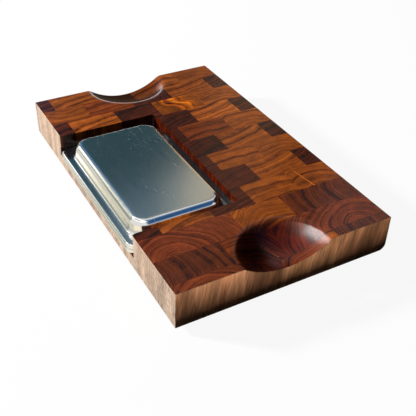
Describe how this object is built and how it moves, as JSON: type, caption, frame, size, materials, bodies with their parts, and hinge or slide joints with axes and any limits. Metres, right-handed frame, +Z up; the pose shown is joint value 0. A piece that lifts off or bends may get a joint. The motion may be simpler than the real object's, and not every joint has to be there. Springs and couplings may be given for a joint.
{
  "type": "cutting board",
  "caption": "End-grain walnut cutting board on rubber feet, with a scoop in each end and a side bay where nested drawn-steel trays slide in grooves",
  "frame": {"origin": "centre of the whole outline, tray rims included, on the plane that the feet stand on", "axes": "+Z up out of the cutting surface, +Y along the board from its near end to its far end, -X the side that the bay opens to and the trays slide out of"},
  "size_m": [0.3134, 0.5, 0.061],
  "materials": {
    "walnut": "oiled, satin",
    "tray_steel": "satin",
    "foot_rubber": "matte",
    "fastener_steel": "plain"
  },
  "bodies": {
    "board": {"walnut_row_01": "walnut", "walnut_row_02": "walnut", "walnut_row_03": "walnut", "walnut_row_04": "walnut", "walnut_row_05": "walnut", "walnut_row_06": "walnut", "walnut_row_07": "walnut", "walnut_row_08": "walnut", "walnut_row_09": "walnut", "walnut_row_10": "walnut", "walnut_row_11": "walnut", "walnut_row_12": "walnut", "foot_near_left": "foot_rubber", "foot_near_right": "foot_rubber", "foot_far_left": "foot_rubber", "foot_far_right": "foot_rubber", "foot_washers": "fastener_steel", "foot_screws": "fastener_steel"},
    "lower_tray": {"lower_tray": "tray_steel"},
    "upper_tray": {"upper_tray": "tray_steel"}
  },
  "joints": [
    {"name": "lower_tray_slide", "type": "slide", "parent": "board", "child": "lower_tray", "axis": [-1, 0, 0], "range_m": [0, 0.15]},
    {"name": "upper_tray_slide", "type": "slide", "parent": "board", "child": "upper_tray", "axis": [-1, 0, 0], "range_m": [0, 0.15]}
  ],
  "couplings": [
    {"joint": "upper_tray_slide", "follows": "lower_tray_slide", "ratio": 1}
  ]
}
